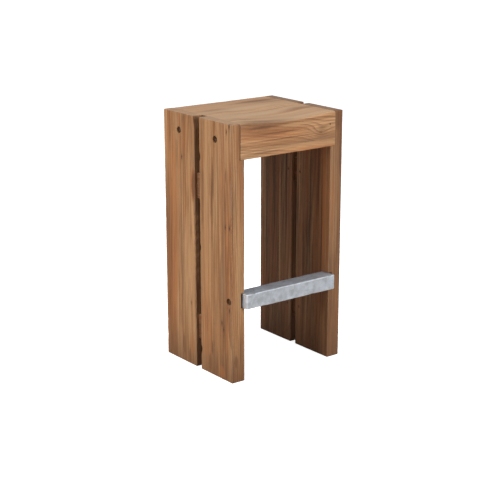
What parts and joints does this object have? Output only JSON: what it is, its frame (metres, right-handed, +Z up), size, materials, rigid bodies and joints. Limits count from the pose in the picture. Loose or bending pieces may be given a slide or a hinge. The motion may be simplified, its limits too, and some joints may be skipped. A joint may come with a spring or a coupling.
{
  "type": "bar stool with footrest",
  "caption": "Rigid plank-sided bar stool: twin upright planks each side with a gap, thick scooped seat beams, and a sheet-wrapped footrest bar across the front.",
  "frame": {"origin": "centre of the overall footprint, on the floor", "axes": "+X to the sitter's right, -Y to the front where the footrest is, +Z up"},
  "size_m": [0.38, 0.33, 0.71],
  "materials": {
    "plank_teak": "reclaimed teak, vertical grain, oiled matte, worn edges",
    "seat_teak": "reclaimed teak, grain across the seat, sanded matte",
    "joint_teak": "teak tenons, pegs, dowels and bar, darker and unfinished",
    "galvanised_sheet": "weathered galvanised sheet, mottled, satin",
    "dark_steel": "darkened steel with brown patina"
  },
  "bodies": {
    "root": {"leg_front_left": "plank_teak", "leg_rear_left": "plank_teak", "leg_front_right": "plank_teak", "leg_rear_right": "plank_teak", "seat_beam_front": "seat_teak", "seat_beam_rear": "seat_teak", "tenon_upper_left": "joint_teak", "tenon_lower_left": "joint_teak", "tenon_upper_right": "joint_teak", "tenon_lower_right": "joint_teak", "pegs_upper_left": "joint_teak", "pegs_lower_left": "joint_teak", "pegs_upper_right": "joint_teak", "pegs_lower_right": "joint_teak", "seat_dowels": "joint_teak", "footrest_core": "joint_teak", "footrest_sleeve": "galvanised_sheet", "seat_screws_left": "dark_steel", "seat_screws_right": "dark_steel", "footrest_screw_left": "dark_steel", "footrest_screw_right": "dark_steel", "seat_washers_left": "dark_steel", "seat_washers_right": "dark_steel", "footrest_washer_left": "dark_steel", "footrest_washer_right": "dark_steel", "footrest_tacks": "dark_steel"}
  },
  "joints": []
}
